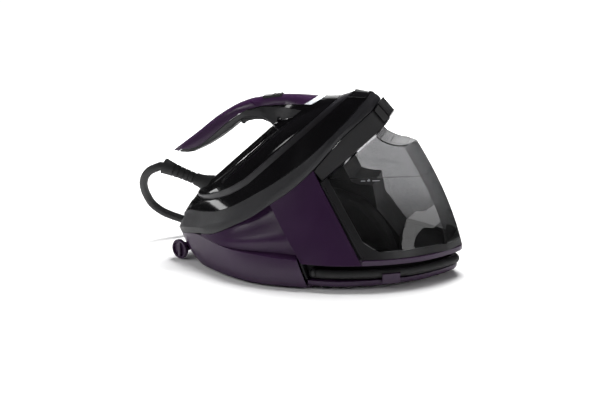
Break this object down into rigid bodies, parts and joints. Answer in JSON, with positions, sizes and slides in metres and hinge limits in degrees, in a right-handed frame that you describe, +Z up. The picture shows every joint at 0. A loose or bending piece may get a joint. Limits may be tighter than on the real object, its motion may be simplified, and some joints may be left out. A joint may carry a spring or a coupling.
{
  "type": "steam generator iron",
  "caption": "Steam generator ironing station: a wide base with a lift-off water tank, a sloping platform, and a hand iron docked on it with its steam hose.",
  "frame": {"origin": "middle of the appliance's footprint, without the free hose, on the surface it stands on", "axes": "+X from the heel, where the user stands and the iron's hose leaves, to the water tank; +Y to the left side, where the hose lies; +Z up"},
  "size_m": [0.5082, 0.2618, 0.2662],
  "materials": {
    "purple_plastic": "satin aubergine plastic with a fine pearl",
    "matte_dark_plastic": "fine-grained matte dark grey plastic",
    "gloss_black_plastic": "polished black plastic",
    "black_plastic": "satin black plastic",
    "rubber": "matte black rubber",
    "smoked_tank": "smoked transparent plastic, polished",
    "light_trim": "glossy white plastic",
    "aluminium": "ground and polished",
    "steel": "drawn stainless steel",
    "brass": "turned brass",
    "copper_element": "copper-coloured sheath, dull",
    "circuit_board": "green solder mask",
    "silicone": "grey silicone"
  },
  "bodies": {
    "base": {"base_pan": "purple_plastic", "groove_liner": "black_plastic", "tank_tray": "purple_plastic", "lower_hull": "purple_plastic", "inlet_gland": "rubber", "upper_hull_right": "purple_plastic", "upper_hull_left": "purple_plastic", "side_panel_right": "purple_plastic", "side_panel_left": "purple_plastic", "ring_band": "matte_dark_plastic", "ring_chamfer": "gloss_black_plastic", "control_panel": "gloss_black_plastic", "platform_floor": "black_plastic", "rest_mat": "silicone", "neck_housing": "matte_dark_plastic", "nose_cap": "gloss_black_plastic", "core_wall": "black_plastic", "boiler": "steel", "heating_element": "copper_element", "pump": "black_plastic", "water_tube": "silicone", "solenoid_valve": "brass", "circuit_board": "circuit_board", "water_spigot": "brass", "foot_1": "rubber", "foot_2": "rubber", "foot_3": "rubber", "foot_4": "rubber", "foot_5": "rubber", "stowed_hose": "rubber", "hose_gland": "black_plastic", "hose_loop": "rubber"},
    "power_key": {"power_button": "matte_dark_plastic"},
    "low_power_key": {"eco_button": "matte_dark_plastic"},
    "lock_slider": {"carry_lock": "gloss_black_plastic"},
    "drain": {"drain_knob": "purple_plastic"},
    "clip": {"hose_clip": "purple_plastic"},
    "tank": {"tank_back": "black_plastic", "tank_valve": "brass", "tank_grip": "black_plastic", "tank_frame": "black_plastic", "tank_vessel": "smoked_tank", "tank_cover": "smoked_tank"},
    "fill_lid": {"tank_lid": "smoked_tank"},
    "iron": {"soleplate": "aluminium", "steam_chamber": "aluminium", "skirt": "black_plastic", "handle_cover": "purple_plastic", "handle_grip": "black_plastic", "light_band": "light_trim", "body_shell": "gloss_black_plastic", "boot": "rubber", "hose_relief": "rubber"},
    "boost_key": {"boost_button": "gloss_black_plastic"},
    "trigger": {"steam_trigger": "black_plastic"}
  },
  "joints": [
    {"name": "iron_lift", "type": "slide", "parent": "base", "child": "iron", "axis": [-0.6717, 0, 0.7408], "range_m": [0, 0.12], "deforming": ["hose_loop"]},
    {"name": "trigger_pull", "type": "hinge", "parent": "iron", "child": "trigger", "pos_m": [-0.06996, 0, 0.22084], "axis": [0, 1, 0], "range_deg": [0, 6], "stiffness_Nm_per_rad": 0.4},
    {"name": "boost_press", "type": "slide", "parent": "iron", "child": "boost_key", "axis": [0.1404, 0, -0.9901], "range_m": [0, 0.0012], "stiffness_N_per_m": 800},
    {"name": "tank_draw", "type": "slide", "parent": "base", "child": "tank", "axis": [1, 0, 0], "range_m": [0, 0.2]},
    {"name": "lid_turn", "type": "hinge", "parent": "tank", "child": "fill_lid", "pos_m": [0.1355, 0.0205, 0.1985], "axis": [-1, 0, 0], "range_deg": [0, 50]},
    {"name": "lock_slide", "type": "slide", "parent": "base", "child": "lock_slider", "axis": [-1, 0, 0], "range_m": [0, 0.004]},
    {"name": "drain_turn", "type": "hinge", "parent": "base", "child": "drain", "pos_m": [-0.1928, -0.028, 0.0165], "axis": [-0.4311, -0.9023, 0], "range_deg": [0, 90]},
    {"name": "power_press", "type": "slide", "parent": "base", "child": "power_key", "axis": [0.8, 0, -0.6], "range_m": [0, 0.0015], "stiffness_N_per_m": 600},
    {"name": "low_power_press", "type": "slide", "parent": "base", "child": "low_power_key", "axis": [0.8, 0, -0.6], "range_m": [0, 0.0015], "stiffness_N_per_m": 600},
    {"name": "clip_swing", "type": "hinge", "parent": "base", "child": "clip", "pos_m": [0.13856, -0.09249, 0.01], "axis": [0.899, 0.4379, 0], "range_deg": [0, 80]}
  ]
}
